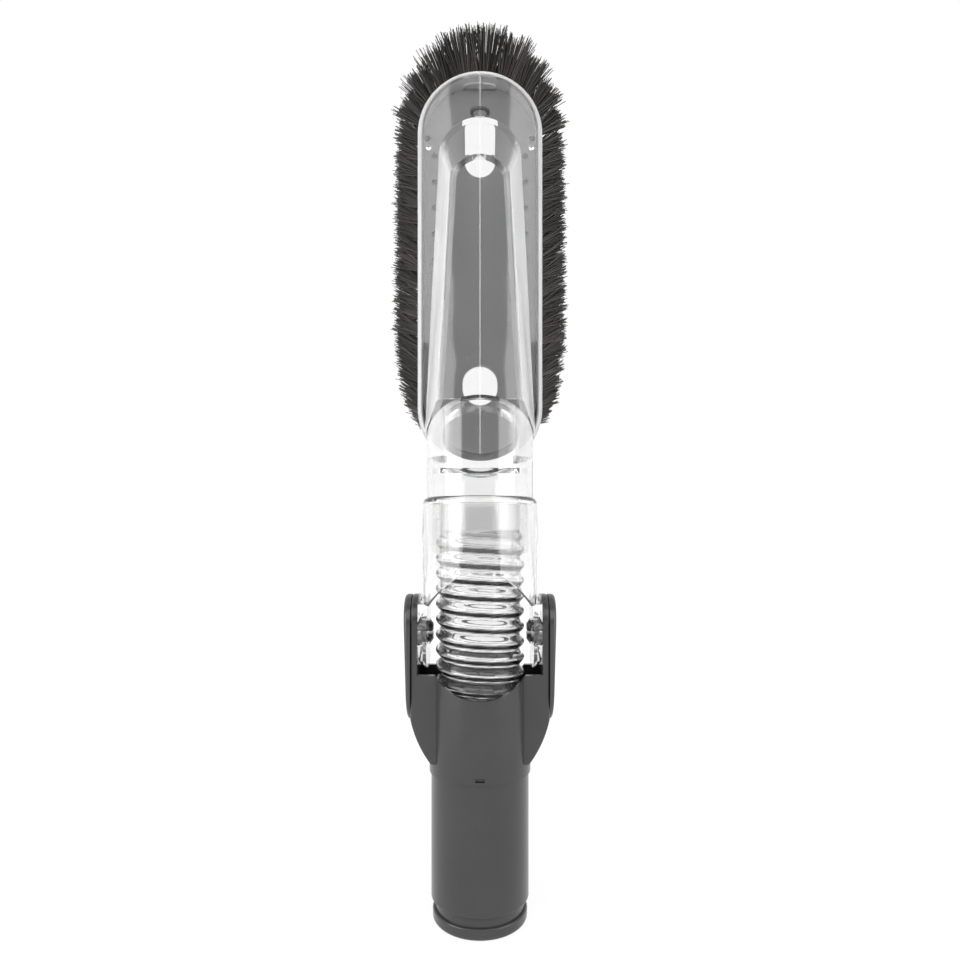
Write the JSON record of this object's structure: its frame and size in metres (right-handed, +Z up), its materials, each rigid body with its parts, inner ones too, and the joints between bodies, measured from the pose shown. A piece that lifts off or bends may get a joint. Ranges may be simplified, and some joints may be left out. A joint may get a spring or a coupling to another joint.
{
  "type": "flexible vacuum brush",
  "caption": "Vacuum dusting brush: clear oval head with a ring of bristle tufts, hinged on a yoke over a spiral-ribbed hose, with a round spigot for the wand.",
  "frame": {"origin": "on the spigot's axis at its lower end", "axes": "+Z up the spigot towards the brush head, +Y from the clear cover towards the bristles, X along the hinge's axis"},
  "size_m": [0.0645, 0.0502, 0.3089],
  "materials": {
    "grey_plastic": "satin",
    "plate_plastic": "satin",
    "clear_plastic": "gloss",
    "clear_hose": "gloss",
    "bristle": "satin",
    "anchor_wire": "plain"
  },
  "bodies": {
    "collar": {"spigot_tube": "grey_plastic", "yoke": "grey_plastic", "pivot_cap_left": "grey_plastic", "pivot_cap_right": "grey_plastic", "hose_lower_cuff": "grey_plastic", "hose": "clear_hose"},
    "head": {"head_cover": "clear_plastic", "hose_upper_cuff": "clear_plastic", "brush_plate": "plate_plastic", "bristle_tufts_outer": "bristle", "bristle_tufts_inner": "bristle", "tuft_anchors": "anchor_wire"}
  },
  "joints": [
    {"name": "head_pivot", "type": "hinge", "parent": "collar", "child": "head", "pos_m": [0, 0, 0.0937], "axis": [1, 0, 0], "range_deg": [-85, 85], "deforming": ["hose"]}
  ]
}
